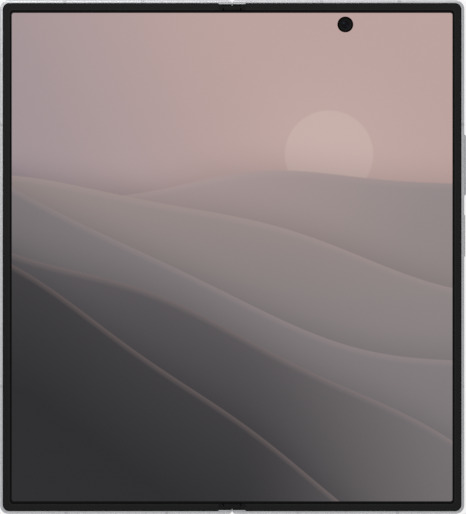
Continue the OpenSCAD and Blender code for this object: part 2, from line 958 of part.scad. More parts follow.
module side_key() {
  color("#c9cbce") lift() difference() {
    button_bar(key_y, key_l, key_tab_u, key_out);
    block([half_w + key_out - 0.15, key_y - 5.2, button_z - 0.7], [80, key_y + 5.2, button_z + 0.7]);
  }
}

module fingerprint_sensor() {
  color("#4b4d50") lift()
    block([half_w + key_out - 0.15, key_y - 5.2, button_z - 0.7],
          [half_w + key_out - 0.02, key_y + 5.2, button_z + 0.7]);
}

module sim_tray() {
  w = sim_tray_w / 2;
  t = sim_tray_t / 2;
  color("#c9cbce") lift() left() difference() {
    union() {
      along_y(-half_h, -end_wall) translate([sim_x, sim_z]) {
        square([sim_w - sim_h, sim_h], center = true);
        for (s = [-1, 1]) translate([s * (sim_w - sim_h) / 2, 0]) circle(r = sim_h / 2);
      }
      block([sim_x - w, -end_wall - 0.2, sim_z - t], [sim_x + w, -end_wall + sim_tray_l, sim_z + t]);
    }
    block([sim_x - 4.5, -end_wall + 2, sim_z - 0.25], [sim_x + 4.5, -end_wall + 14.4, 5]);
  }
}

module sim_card() {
  color("#d9c27a") lift() left()
    block([sim_x - 4.4, -end_wall + 2.05, sim_z - 0.25], [sim_x + 4.4, -end_wall + 14.35, sim_z + 0.34]);
}

right_frame();
right_antenna_breaks();
right_screen_surround();
right_display();
rear_panel();
camera_island();
lens_rings();
lens_glasses();
rear_cameras();
flash();
selfie_camera();
right_battery();
charging_coil();
main_board();
board_chips();
shield_cans();
usb_board();
usb_c_port();
loudspeaker();
vibration_motor();
microphones();
key_switches();
right_magnets();
right_arcs();
right_screws();
right_flex_tails();
left_frame();
left_antenna_breaks();
left_screen_surround();
left_display();
cover_glass();
cover_display();
cover_camera();
left_battery();
left_upper_board();
left_lower_board();
earpiece_speaker();
sim_reader();
left_magnets();
left_arcs();
left_screws();
left_flex_tails();
hinge_spine();
hinge_brackets();
gear_frames();
hinge_screws();
hinge_end_caps();
fold_display();
fold_support_lattice();
hinge_flex_cables();
left_swing_gear();
left_idler_gear();
right_idler_gear();
right_swing_gear();
volume_rocker();
side_key();
fingerprint_sensor();
sim_tray();
sim_card();
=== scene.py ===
import math

import bmesh
import bpy
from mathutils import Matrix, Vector


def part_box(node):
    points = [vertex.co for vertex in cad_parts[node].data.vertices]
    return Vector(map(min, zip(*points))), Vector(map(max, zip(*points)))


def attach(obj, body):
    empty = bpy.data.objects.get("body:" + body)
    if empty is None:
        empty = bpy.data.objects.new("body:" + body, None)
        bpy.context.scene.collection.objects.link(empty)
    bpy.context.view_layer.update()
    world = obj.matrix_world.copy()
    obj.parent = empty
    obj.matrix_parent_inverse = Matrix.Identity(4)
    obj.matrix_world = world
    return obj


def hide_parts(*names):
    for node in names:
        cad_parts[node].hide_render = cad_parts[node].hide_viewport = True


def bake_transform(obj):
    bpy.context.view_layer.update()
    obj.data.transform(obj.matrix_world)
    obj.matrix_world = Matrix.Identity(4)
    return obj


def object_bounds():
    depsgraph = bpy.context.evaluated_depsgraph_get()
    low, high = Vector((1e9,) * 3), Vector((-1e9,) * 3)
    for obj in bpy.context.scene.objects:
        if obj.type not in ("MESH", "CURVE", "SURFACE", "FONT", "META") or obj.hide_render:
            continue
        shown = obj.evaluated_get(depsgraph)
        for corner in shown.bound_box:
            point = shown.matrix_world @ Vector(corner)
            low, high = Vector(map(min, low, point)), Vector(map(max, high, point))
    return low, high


bl_info = {
    "name": "Folding phone dressing",
    "version": (1, 0, 0),
    "blender": (4, 5, 0),
    "location": "View3D > Sidebar > Phone",
    "description": "Dresses the packed frame of a folding phone: screen, metalwork, glass and cameras",
    "category": "Object",
}

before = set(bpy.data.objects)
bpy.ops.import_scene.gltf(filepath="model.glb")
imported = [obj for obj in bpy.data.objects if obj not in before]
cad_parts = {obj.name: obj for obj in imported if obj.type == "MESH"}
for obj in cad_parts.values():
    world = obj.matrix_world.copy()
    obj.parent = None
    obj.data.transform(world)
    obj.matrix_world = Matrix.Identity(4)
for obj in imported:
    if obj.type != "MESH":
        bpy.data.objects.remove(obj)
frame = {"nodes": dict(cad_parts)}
cad_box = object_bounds()

MM = 0.001

# Places read off the frame
SCREEN_LOW, SCREEN_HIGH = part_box("right_display")
STRIP_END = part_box("fold_display")[1].y
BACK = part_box("rear_panel")[0].z
LIP_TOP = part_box("right_frame")[1].z
SPINE_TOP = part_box("hinge_spine")[1].z
CAPS_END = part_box("hinge_end_caps")[1].y
RINGS_LOW, RINGS_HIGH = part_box("lens_rings")
PORT_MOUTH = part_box("usb_c_port")[0].y


def middle(node):
    """The centre of a node's box."""
    low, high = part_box(node)
    return (low + high) / 2


PUNCH = middle("selfie_camera")
COVER_CAMERA = middle("cover_camera")
FLASH = middle("flash")
PORT = middle("usb_c_port")
ISLAND = middle("camera_island")
RING_RADIUS = (RINGS_HIGH.x - RINGS_LOW.x) / 2
LENS_HEIGHTS = (RINGS_LOW.y + RING_RADIUS, ISLAND.y, RINGS_HIGH.y - RING_RADIUS)
LENSES = [Vector((ISLAND.x, y, 0)) for y in LENS_HEIGHTS]

# Sizes that the boxes don't give
FOLD_AXIS = Vector((1.3 * MM, 0, SPINE_TOP))
TROUGH_RADIUS = 2.20 * MM
BAY_REACH = 5.0 * MM
BAY_END = CAPS_END + 0.41 * MM
BAY_FLOOR = BACK + 0.40 * MM
SURROUND_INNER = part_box("right_screen_surround")[1] - Vector((2.13, 2.13, 0)) * MM
TONGUE_HALF_WIDTH = 3.40 * MM
TONGUE_HALF_HEIGHT = 0.35 * MM
RIPPLE = 0.38 * MM
MASK_EDGE = 0.02 * MM
MERGE = 0.0005 * MM
SIDES = {"right": 1, "left": -1}


def rgb(red, green, blue):
    """A colour written as it shows on a screen, 0 to 255, in scene linear."""
    def linear(value):
        value /= 255
        return value / 12.92 if value <= 0.04045 else ((value + 0.055) / 1.055) ** 2.4

    return linear(red), linear(green), linear(blue)


# ---- Sizes and colours


def measure(name, description, default, unit="LENGTH", least=0):
    """A number's property, a length in metres unless another unit is given."""
    return bpy.props.FloatProperty(
        name=name, description=description, default=default, min=least, precision=5, unit=unit
    )


def colour(name, description, default):
    """A colour property."""
    return bpy.props.FloatVectorProperty(
        name=name, description=description, default=default, min=0, max=1, size=3, subtype="COLOR"
    )


class ScreenSettings(bpy.types.PropertyGroup):
    """The inner screen."""

    lit_width: measure("Lit width", "Width of the lit part of the inner screen", 135.8 * MM)
    lit_height: measure("Lit height", "Height of the lit part of the inner screen", 150.5 * MM)
    lit_corner: measure("Lit corner", "Corner radius of the lit part", 0.65 * MM)
    glass_corner: measure("Glass corner", "Corner radius of the screen", 1.1 * MM)
    thickness: measure("Thickness", "Thickness of the folding screen", 0.34 * MM)
    punch_radius: measure("Punch hole", "Radius of the hole for the camera", 2.45 * MM)
    haze: colour("Haze", "Wallpaper, upper right", rgb(188, 162, 158))
    dusk: colour("Dusk", "Wallpaper, upper left", rgb(158, 144, 149))


class MetalSettings(bpy.types.PropertyGroup):
    """The frame, the spine, the keys and the island."""

    frame: colour("Frame", "Anodised frame, keys and spine", rgb(214, 215, 218))
    island: colour("Island", "Camera island", rgb(200, 202, 206))
    ring: colour("Rings", "Lens rings", rgb(186, 188, 192))
    edge: measure("Edge", "Width of a broken edge", 0.07 * MM)


class ShellSettings(bpy.types.PropertyGroup):
    """The surround, the antenna breaks and the glass of the back."""

    surround: colour("Surround", "Raised strip round the screen", rgb(19, 19, 20))
    antenna: colour("Antenna breaks", "Plastic let into the frame", rgb(188, 189, 192))
    panel: colour("Rear panel", "Frosted glass of the right half's back", rgb(196, 199, 204))


class StageSettings(bpy.types.PropertyGroup):
    """The camera, the lamps and the floor."""

    lens: measure("Lens", "Focal length of the camera", 400, "CAMERA", 50)
    key_power: measure("Key lamp", "Power of the small lamp above the top left", 1.5, "POWER")
    fill_power: measure("Fill lamp", "Power of the broad lamp off the bottom edge", 2.8, "POWER")
    floor: colour("Floor", "Pale floor", (0.86, 0.86, 0.86))


# ---- Materials


def maths(operation, reflected=False):
    """A method for Flow below that adds one Math node. A reflected one puts its own value last."""
    def method(self, *others):
        terms = (*others, self) if reflected else (self, *others)
        node = self.tree.nodes.new("ShaderNodeMath")
        node.operation = operation
        for slot, term in zip(node.inputs, terms):
            join(self.tree, slot, term)
        return Flow(self.tree, node.outputs[0])

    return method


class Flow:
    """A shader value that takes part in Python arithmetic: each operator adds a Math node."""

    def __init__(self, tree, socket):
        self.tree = tree
        self.socket = socket

    __add__ = __radd__ = maths("ADD")
    __sub__ = maths("SUBTRACT")
    __rsub__ = maths("SUBTRACT", reflected=True)
    __mul__ = __rmul__ = maths("MULTIPLY")
    __truediv__ = maths("DIVIDE")
    __pow__ = maths("POWER")
    __abs__ = maths("ABSOLUTE")
    sin = maths("SINE")
    largest = maths("MAXIMUM")
    smallest = maths("MINIMUM")

    def __neg__(self):
        return self * -1

    def clamped(self):
        return self.largest(0).smallest(1)


def join(tree, slot, value):
    """Links a value to a socket, or sets the socket where the value is a plain one."""
    if isinstance(value, Flow):
        value = value.socket
    if isinstance(value, bpy.types.NodeSocket):
        tree.links.new(value, slot)
    elif slot.type == "RGBA":
        slot.default_value = (*value, 1)
    else:
        slot.default_value = value


class Nodes:
    """A node tree under way, for a material or for the world."""

    def __init__(self, tree, coordinates):
        self.tree = tree
        tree.nodes.clear()
        self.place = self.node("ShaderNodeTexCoord", {}, {}).outputs[coordinates]

    def node(self, kind, settings, inputs):
        """A node of any kind, with its settings set before its sockets."""
        node = self.tree.nodes.new(kind)
        for key, value in settings.items():
            setattr(node, key, value)
        for key, value in inputs.items():
            join(self.tree, node.inputs[key], value)
        return node

    def noise(self, scale, detail=2.0, place=None):
        """Soft noise from 0 to 1, with its scale in patches to a metre."""
        inputs = {"Vector": place or self.place, "Scale": scale, "Detail": detail}
        return Flow(self.tree, self.node("ShaderNodeTexNoise", {}, inputs).outputs["Fac"])

    def axes(self, vector=None):
        """The three numbers of a place."""
        parts = self.node("ShaderNodeSeparateXYZ", {}, {0: vector or self.place})
        return [Flow(self.tree, socket) for socket in parts.outputs]

    def off_axis(self, *centres):
        """Distance from the nearest of some upright axes."""
        x, y, _ = self.axes()
        distances = [((x - centre.x) ** 2 + (y - centre.y) ** 2) ** 0.5 for centre in centres]
        nearest = distances[0]
        for distance in distances[1:]:
            nearest = nearest.smallest(distance)
        return nearest

    def mix(self, factor, first, second):
        """first where the factor is 0, second where it is 1."""
        node = self.node("ShaderNodeMix", {"data_type": "RGBA"}, {0: factor, 6: first, 7: second})
        return node.outputs[2]

    def ramp(self, value, low, high):
        """0 below low, 1 above high, and smooth between."""
        settings = {"interpolation_type": "SMOOTHSTEP"}
        inputs = {"Value": value, "From Min": low, "From Max": high}
        return Flow(self.tree, self.node("ShaderNodeMapRange", settings, inputs).outputs[0])

    def fade(self, value, low, high):
        """1 below low, 0 above high, and smooth between."""
        return 1 - self.ramp(value, low, high)

    def stretched(self, scale):
        """The place, scaled apart on each axis, for a grain with a direction."""
        mapping = self.node("ShaderNodeMapping", {}, {"Vector": self.place, "Scale": scale})
        return mapping.outputs["Vector"]


class Finish(Nodes):
    """A material under way. Its constants go on the shader, and the rest is added by node()."""

    def __init__(self, name, fixed):
        self.material = bpy.data.materials.new(name)
        self.material.use_nodes = True
        super().__init__(self.material.node_tree, "Object")
        self.shader = self.node("ShaderNodeBsdfPrincipled", {}, fixed)
        surface = {"Surface": self.shader.outputs["BSDF"]}
        self.output = self.node("ShaderNodeOutputMaterial", {}, surface)

    def set(self, name, value):
        """Sets or links one of the shader's sockets."""
        join(self.tree, self.shader.inputs[name], value)

    def brushing(self, along):
        """A fine grain whose streaks run along one axis."""
        streaks_to_a_metre, hairs_to_a_metre = 40, 6000
        scale = [streaks_to_a_metre if axis == along else hairs_to_a_metre for axis in "XYZ"]
        return self.noise(1.0, 3, self.stretched(scale))

    def made(self, colour, roughness, height, strength, depth):
        """The material, with its colour, its roughness and its bump."""
        self.set("Base Color", colour)
        self.set("Roughness", roughness)
        inputs = {"Strength": strength, "Distance": depth, "Height": height}
        self.set("Normal", self.node("ShaderNodeBump", {}, inputs).outputs["Normal"])
        return self.material


def swung(level, *swings):
    """A level swung either way by values from 0 to 1, each with its reach."""
    for value, reach in swings:
        level = level + (value - 0.5) * reach
    return level


def shaded(tone, factor):
    """A colour made darker or lighter, held below white."""
    return tuple(min(1, part * factor) for part in tone)


def wave(value, pitch):
    """Ripples from 0 to 1 along a value, one to each pitch."""
    return (value * (2 * math.pi / pitch)).sin() * 0.5 + 0.5


def rounded_box_distance(x, y, half_width, half_height, radius):
    """Distance from a rounded rectangle's edge, below 0 inside it."""
    across = abs(x) - (half_width - radius)
    along = abs(y) - (half_height - radius)
    outside = (across.largest(0) ** 2 + along.largest(0) ** 2) ** 0.5
    return outside + across.largest(along).smallest(0) - radius


def blasted_metal(name, tone, roughness, grain=9000, painted_shade=None):
    """Blasted, anodised metal with faint cloudy patches, and black painted shade where a mask says."""
    finish = Finish(name, {})
    fine = finish.noise(grain, 3)
    cloud = finish.noise(90, 2)
    bright = finish.mix(cloud * 0.7 + fine * 0.3, shaded(tone, 0.94), shaded(tone, 1.05))
    # Painted shade: black where the mask says, in recesses that stand in shadow.
    painted_shade_mask = painted_shade(finish) if painted_shade else 0
    finish.set("Metallic", 1 - painted_shade_mask)
    shade = finish.mix(painted_shade_mask, bright, (0.006, 0.006, 0.006))
    roughness = swung(roughness, (cloud, 0.06), (fine, 0.08))
    return finish.made(shade, roughness, fine, 0.04, 0.003 * MM)


def painted_shade_in_bay(finish):
    """Painted shade: 1 inside the frames' hinge bay, as if in shadow, and 0 on the faces that show."""
    x, y, z = finish.axes()
    across = finish.fade(abs(x), BAY_REACH, BAY_REACH + MASK_EDGE)
    along = finish.fade(abs(y), BAY_END, BAY_END + MASK_EDGE)
    return across * along * finish.ramp(z, BAY_FLOOR, BAY_FLOOR + MASK_EDGE)


def painted_shade_in_spine(finish):
    """Painted shade: 1 in the spine's trough and on its rim, as if in shadow, and 0 on its outside."""
    x, _, z = finish.axes()
    beside = (abs(x) - FOLD_AXIS.x).largest(0)
    from_axis = (beside ** 2 + (z - FOLD_AXIS.z) ** 2) ** 0.5
    trough = finish.fade(from_axis, TROUGH_RADIUS, TROUGH_RADIUS + 0.05 * MM)
    rim = FOLD_AXIS.z - 0.01 * MM
    return trough.largest(finish.ramp(z, rim - MASK_EDGE, rim))


def brushed_metal(name, tone, roughness, along="Y"):
    """Rolled or ground metal, with its grain along one axis."""
    finish = Finish(name, {"Metallic": 1.0})
    grain = finish.brushing(along)
    cloud = finish.noise(150, 2)
    shade = finish.mix(grain * 0.6 + cloud * 0.4, shaded(tone, 0.84), tone)
    return finish.made(shade, swung(roughness, (grain, 0.16)), grain, 0.2, 0.004 * MM)


def port_steel(name):
    """The port's pressed steel shell, and the black tongue inside it."""
    finish = Finish(name, {})
    x, _, z = finish.axes()
    edge = 0.05 * MM
    across = finish.fade(abs(x - PORT.x), TONGUE_HALF_WIDTH, TONGUE_HALF_WIDTH + edge)
    face = TONGUE_HALF_HEIGHT + MASK_EDGE
    tongue = across * finish.fade(abs(z - PORT.z), face, face + edge)
    grain = finish.brushing("Y")
    fine = finish.noise(6000, 2)
    steel = finish.mix(grain, (0.40, 0.40, 0.41), (0.50, 0.50, 0.51))
    black = finish.mix(fine, (0.008, 0.008, 0.009), (0.014, 0.014, 0.015))
    finish.set("Metallic", 1 - tongue)
    shade = finish.mix(tongue, steel, black)
    return finish.made(shade, swung(0.28 + tongue * 0.2, (fine, 0.1)), grain, 0.15, 0.004 * MM)


def turned_metal(name, tone, centres):
    """Metal turned on a lathe: fine rings about each centre."""
    finish = Finish(name, {"Metallic": 1.0})
    tool_feed = 0.09 * MM
    rings = wave(finish.off_axis(*centres), tool_feed)
    fine = finish.noise(7000, 2)
    shade = finish.mix(rings * 0.5 + fine * 0.5, shaded(tone, 0.86), tone)
    roughness = swung(0.29, (fine, 0.1))
    return finish.made(shade, roughness, rings * 0.7 + fine * 0.3, 0.12, 0.004 * MM)


def spark_eroded(finish, tone, roughness):
    """The colour, the roughness and the grain that a spark-eroded mould leaves on plastic."""
    fine = finish.noise(5200, 3)
    cloud = finish.noise(260, 2)
    shade = finish.mix(cloud * 0.6 + fine * 0.4, shaded(tone, 0.88), shaded(tone, 1.16))
    return shade, swung(roughness, (fine, 0.12), (cloud, 0.06)), fine


def moulded_plastic(name, tone, roughness, mica=0.0):
    """Fine matte plastic, with a metal-like sheen where mica is given."""
    finish = Finish(name, {"Metallic": mica})
    shade, roughness, fine = spark_eroded(finish, tone, roughness)
    return finish.made(shade, roughness, fine, 0.22, 0.006 * MM)


def surround_plastic(name, tone):
    """Matte black plastic: painted shade at its foot, a painted highlight along its inner edge."""
    finish = Finish(name, {"Specular IOR Level": 0.16})
    shade, roughness, fine = spark_eroded(finish, tone, 0.45)
    x, y, z = finish.axes()
    corner, caps_end = 1.1 * MM, 4.0 * MM
    from_edge = rounded_box_distance(x, y, SURROUND_INNER.x, SURROUND_INNER.y, corner)
    # Painted highlight: lighter along the inner edge, where its chamfer would catch the light, away from
    # the end caps.
    edge = finish.fade(from_edge, 0.24 * MM, 0.34 * MM)
    edge = edge * finish.ramp(abs(x), caps_end, caps_end + 0.1 * MM)
    shade = finish.mix(edge, shade, shaded(tone, 1.9))
    # Painted shade: near black below the foot, in the gap by the frame's lip, as if in shadow.
    foot = LIP_TOP - 0.2 * MM
    shade = finish.mix(finish.ramp(z, foot, foot + 0.1 * MM), (0.001, 0.001, 0.001), shade)
    return finish.made(shade, roughness, fine, 0.22, 0.006 * MM)


def frosted_glass(name, tone):
    """Back-painted glass with an etched face: a satin sheen over a pearly coat."""
    finish = Finish(name, {"Metallic": 0.55, "Coat Roughness": 0.28})
    etched = finish.noise(6500, 3)
    pearl = finish.noise(11000, 1)
    drift = finish.noise(24, 2)
    warm = tuple(min(1, part * shift) for part, shift in zip(tone, (1.05, 1.02, 0.99)))
    cool = tuple(part * shift for part, shift in zip(tone, (0.9, 0.93, 0.97)))
    finish.set("Coat Weight", 0.1 + pearl * 0.3)
    shade = finish.mix(drift * 0.7 + pearl * 0.3, cool, warm)
    roughness = swung(0.36, (etched, 0.1), (drift, 0.05))
    return finish.made(shade, roughness, etched, 0.14, 0.004 * MM)


def black_glass(name, panel=None, camera=None):
    """Polished glass over black, faintly wiped, with a dark screen and a camera behind it."""
    finish = Finish(name, {"Specular IOR Level": 0.42})
    wipe = finish.noise(1.0, 3, finish.stretched((60, 240, 60)))
    speck = finish.noise(3000, 1)
    shade = finish.mix(wipe, (0.002, 0.002, 0.003), (0.004, 0.004, 0.005))
    if panel:
        low, high = panel
        centre, half = (low + high) / 2, (high - low) / 2
        x, y, _ = finish.axes()
        edge = rounded_box_distance(x - centre.x, y - centre.y, half.x, half.y, 1.5 * MM)
        screen = finish.fade(edge, -0.05 * MM, 0.05 * MM)
        shade = finish.mix(screen, shade, (0.010, 0.010, 0.012))
    if camera is not None:
        window, lens_rim = 2.0 * MM, 1.2 * MM
        away = finish.off_axis(camera)
        ring = finish.fade(abs(away - window), 0.06 * MM, 0.14 * MM)
        shade = finish.mix(finish.fade(away, window, window + 0.1 * MM), shade, (0.001, 0.001, 0.001))
        shade = finish.mix(ring, shade, (0.060, 0.060, 0.064))
        pupil = finish.ramp(away, 0.25 * MM, 1.1 * MM)
        lens = finish.mix(pupil, (0.004, 0.016, 0.060), (0.034, 0.010, 0.054))
        shade = finish.mix(finish.fade(away, lens_rim - 0.05 * MM, lens_rim + 0.05 * MM), shade, lens)
    return finish.made(shade, 0.05 + wipe * 0.07 + speck * 0.02, wipe, 0.02, 0.01 * MM)


def clear_glass(name, tint):
    """Coated glass: clear, with a faint uneven colour."""
    finish = Finish(name, {"Transmission Weight": 1.0, "IOR": 1.46})
    film = finish.noise(400, 2)
    finish.set("Base Color", finish.mix(film, tint, (0.93, 0.95, 0.97)))
    finish.set("Roughness", film * 0.008)
    return finish.material


def flash_plastic(name, centre, tone):
    """The flash's lens: clear, slightly yellow plastic, warmest at the middle."""
    finish = Finish(name, {"IOR": 1.49, "Coat Weight": 0.6, "Coat Roughness": 0.05})
    away = finish.off_axis(centre)
    rings = wave(away, RIPPLE)
    core = finish.fade(away, 0.5 * MM, 1.5 * MM)
    warm = finish.mix(core, tone, rgb(250, 222, 128))
    shade = finish.mix(rings * 0.35, warm, rgb(255, 250, 232))
    return finish.made(shade, 0.12 + rings * 0.12, finish.noise(3000, 2), 0.1, 0.01 * MM)


def lens_black(name, centres, lens_radius):
    """Blackened camera parts: matte steps, and a glossy lens with a blue and violet coating."""
    finish = Finish(name, {"Specular IOR Level": 0.4, "Coat Roughness": 0.02})
    nearest = finish.off_axis(*centres)
    lens = finish.fade(nearest, lens_radius * 0.96, lens_radius * 1.02)
    fine = finish.noise(5200, 2)
    tint = finish.noise(300, 1)
    band = finish.ramp(nearest, 0, lens_radius)
    coating = finish.mix(band, (0.003, 0.014, 0.080), (0.040, 0.006, 0.080))
    matte = finish.mix(fine, (0.006, 0.006, 0.006), (0.012, 0.012, 0.012))
    finish.set("Coat Weight", lens)
    shade = finish.mix(lens * (0.7 + 0.3 * tint), matte, coating)
    roughness = 0.42 - lens * 0.36 + (1 - lens) * (fine - 0.5) * 0.06
    return finish.made(shade, roughness, fine * (1 - lens), 0.1, 0.004 * MM)


def selfie_black(name, centre):
    """The front camera behind its hole: a black collar, a dark grey cone and two small glints."""
    finish = Finish(name, {"Specular IOR Level": 0.03})
    away = finish.off_axis(centre)
    collar = finish.ramp(away, 1.88 * MM, 1.98 * MM)
    pupil = finish.fade(away, 1.1 * MM, 1.5 * MM)
    fine = finish.noise(6000, 2)
    tint = finish.mix(pupil, rgb(28, 28, 28), rgb(19, 19, 20))
    round_glint = finish.off_axis(centre + Vector((-0.49, 0.49, 0)) * MM)
    tint = finish.mix(finish.fade(round_glint, 0.15 * MM, 0.45 * MM), tint, rgb(36, 43, 62))
    x, y, _ = finish.axes()
    x, y = x - centre.x - 0.63 * MM, y - centre.y + 0.49 * MM
    along, across = (x - y) * 0.42, (x + y) * 0.7
    long_glint = (along ** 2 + across ** 2) ** 0.5
    tint = finish.mix(finish.fade(long_glint, 0.1 * MM, 0.35 * MM), tint, rgb(38, 34, 60))
    shade = finish.mix(collar, tint, (0.0005, 0.0005, 0.0005))
    return finish.made(shade, 0.45 + fine * 0.1, fine, 0.05, 0.002 * MM)


def solder_resist(name):
    """A printed board: green resist with copper tracks under it and a scatter of pads."""
    finish = Finish(name, {})
    x, y, _ = finish.axes()
    wander = finish.noise(500, 1) * 0.7 * MM
    lengthways = finish.ramp(wave(x + wander, 0.9 * MM), 0.775, 0.9)
    crossways = finish.ramp(wave(y + wander, 1.3 * MM), 0.8, 0.925)
    region = finish.ramp(finish.noise(120, 0), 0.45, 0.55)
    tracks = lengthways * region + crossways * (1 - region)
    pads = finish.ramp(finish.noise(1700, 0), 0.66, 0.7)
    resist = finish.mix(tracks, (0.006, 0.045, 0.022), (0.012, 0.085, 0.040))
    finish.set("Metallic", pads)
    shade = finish.mix(pads, resist, (0.42, 0.42, 0.40))
    return finish.made(shade, 0.34 - pads * 0.08, tracks * 0.5 + pads, 0.4, 0.03 * MM)


def wound_copper(name, centre):
    """A flat coil: enamelled copper wire in turns about its centre."""
    finish = Finish(name, {"Metallic": 1.0, "Coat Weight": 0.4, "Coat Roughness": 0.15})
    wire_pitch = 0.8 * MM
    turns = wave(finish.off_axis(centre), wire_pitch)
    cloud = finish.noise(300, 2)
    copper = finish.mix(turns * 0.8 + cloud * 0.2, (0.16, 0.05, 0.02), (0.62, 0.28, 0.13))
    return finish.made(copper, 0.25 + cloud * 0.12, turns, 0.8, 0.08 * MM)


def pouch_foil(name):
    """A battery's laminated pouch: dark, faintly creased, with a soft gloss."""
    finish = Finish(name, {})
    crease = finish.noise(160, 4)
    fine = finish.noise(2400, 2)
    shade = finish.mix(crease, (0.022, 0.022, 0.025), (0.05, 0.05, 0.055))
    return finish.made(shade, 0.38 + fine * 0.12, crease * 0.8 + fine * 0.2, 0.35, 0.05 * MM)


def film_strip(name):
    """A flexible cable: amber film over copper lines."""
    finish = Finish(name, {"Coat Weight": 0.3, "Coat Roughness": 0.2})
    _, y, _ = finish.axes()
    line_pitch = 0.5 * MM
    lines = finish.ramp(wave(y, line_pitch), 0.55, 0.75)
    cloud = finish.noise(350, 2)
    amber = finish.mix(cloud, (0.13, 0.05, 0.012), (0.20, 0.08, 0.02))
    shade = finish.mix(lines * 0.6, amber, (0.36, 0.16, 0.05))
    return finish.made(shade, 0.3 + cloud * 0.15, lines, 0.3, 0.01 * MM)


def black_gauze(name):
    """Fine woven gauze behind the sound holes."""
    finish = Finish(name, {"Metallic": 0.6})
    x, _, z = finish.axes()
    turn = 2 * math.pi / (0.12 * MM)
    weave = (x * turn).sin() * (z * turn).sin() * 0.5 + 0.5
    fine = finish.noise(4000, 2)
    shade = finish.mix(weave, (0.004, 0.004, 0.004), (0.05, 0.05, 0.052))
    return finish.made(shade, 0.45 + fine * 0.15, weave, 0.8, 0.02 * MM)


# The wallpaper, in places from -1 to 1 across the lit screen and up it. Its dunes, the farthest
# first: height of the crest at the middle, how far it falls to the right, two waves as
# (size, count, start), and the colours of the crest and the foot.
DUNES = [
    (0.30, 0.02, (0.055, 2.3, 0.4), (0.020, 5.1, 1.1), rgb(164, 148, 147), rgb(150, 136, 134)),
    (0.12, 0.14, (0.085, 1.9, 2.6), (0.024, 4.3, 0.2), rgb(152, 139, 137), rgb(124, 118, 120)),
    (-0.10, 0.34, (0.090, 2.2, 4.4), (0.030, 3.9, 2.0), rgb(128, 121, 123), rgb(96, 92, 95)),
    (-0.36, 0.46, (0.080, 1.7, 0.9), (0.026, 4.6, 3.3), rgb(92, 88, 91), rgb(58, 57, 60)),
    (-0.66, 0.52, (0.095, 2.0, 3.2), (0.022, 5.3, 0.8), rgb(64, 62, 65), rgb(43, 42, 45)),
]
DUNE_DEPTH = 0.5
DUNE_SHADOW = 0.16
DUNE_RIM = 0.03
SUN_X, SUN_Y, SUN_RADIUS = 0.44, 0.42, 0.2
SUN_TONE = rgb(214, 192, 186)
GLOW_TONE = rgb(134, 128, 130)
SHADOW_TONE = rgb(30, 28, 30)
SCREEN_ASPECT = 1.11


def dune_picture(finish, x, y, haze, dusk):
    """Soft dunes under an even sky, drawn from waves: the colour at a place on the screen."""
    picture = finish.mix(finish.ramp(x * 0.8 + y * 0.35, -0.9, 0.5), dusk, haze)
    from_sun = ((x - SUN_X) ** 2 + ((y - SUN_Y) * SCREEN_ASPECT) ** 2) ** 0.5
    disc = finish.fade(from_sun, SUN_RADIUS - 0.005, SUN_RADIUS + 0.005)
    picture = finish.mix(disc * 0.30, picture, SUN_TONE)
    picture = finish.mix(finish.fade(from_sun, 0.0, SUN_RADIUS * 3) * 0.16, picture, SUN_TONE)
    for height, fall, (size, count, start), (size_2, count_2, start_2), crest, foot in DUNES:
        waves = (x * count + start).sin() * size + (x * count_2 + start_2).sin() * size_2
        above = y - (waves - x * fall + height)
        shadow = (1 - above / DUNE_SHADOW).clamped() ** 2
        picture = finish.mix(shadow * 0.16, picture, SHADOW_TONE)
        sand = finish.mix((-above / DUNE_DEPTH).clamped() ** 0.8, crest, foot)
        sand = finish.mix(finish.ramp(x, 0.0, 1.2) * 0.6, sand, GLOW_TONE)
        rim = (1 + above / DUNE_RIM).clamped()
        sand = finish.mix(rim * 0.16, sand, haze)
        picture = finish.mix(finish.ramp(above, -0.0035, 0.0035), sand, picture)
    return picture


def lit_screen(settings):
    """The inner screen: glossy film over black, lit inside its border."""
    finish = Finish("lit_screen", {"Emission Strength": 1.0, "Specular IOR Level": 0.3})
    flat = finish.node("ShaderNodeUVMap", {"uv_map": "screen"}, {}).outputs["UV"]
    x, y, _ = finish.axes(flat)
    half_width, half_height = settings.lit_width / 2, settings.lit_height / 2
    edge = rounded_box_distance(x, y, half_width, half_height, settings.lit_corner)
    lit = finish.fade(edge, -0.03 * MM, 0.03 * MM)
    picture = dune_picture(finish, x / half_width, y / half_height, settings.haze, settings.dusk)
    finish.set("Emission Color", finish.mix(lit, (0, 0, 0), picture))
    film = finish.noise(900, 2, flat)
    shade = finish.mix(film, (0.0028, 0.0030, 0.0030), (0.0042, 0.0044, 0.0044))
    return finish.made(shade, 0.10 + film * 0.05, film, 0.01, 0.01 * MM)


# ---- Shaping pieces


def merged_copy(node):
    """A copy of a CAD node's mesh with its loose triangles joined."""
    bm = bmesh.new()
    bm.from_mesh(frame["nodes"][node].data)
    bmesh.ops.remove_doubles(bm, verts=bm.verts, dist=MERGE)
    return bm


def cleaned(bm, angle=0.5):
    """Joins the triangles of each flat face."""
    bmesh.ops.dissolve_limit(bm, angle_limit=math.radians(angle), verts=bm.verts, edges=bm.edges)
    return bm


def rounded(bm, geom, width, segments=2, affect="EDGES"):
    """Rounds some edges or corners."""
    bmesh.ops.bevel(
        bm, geom=geom, offset=width, affect=affect, segments=segments, profile=0.5, material=-1,
        clamp_overlap=True,
    )


def broken_edges(bm, width, segments=2, angle=50):
    """Rounds the edges that are sharper than the angle."""
    limit = math.radians(angle)
    sharp = [e for e in bm.edges if len(e.link_faces) == 2 and e.calc_face_angle() > limit]
    rounded(bm, sharp, width, segments)
    bmesh.ops.dissolve_degenerate(bm, dist=MERGE, edges=bm.edges)


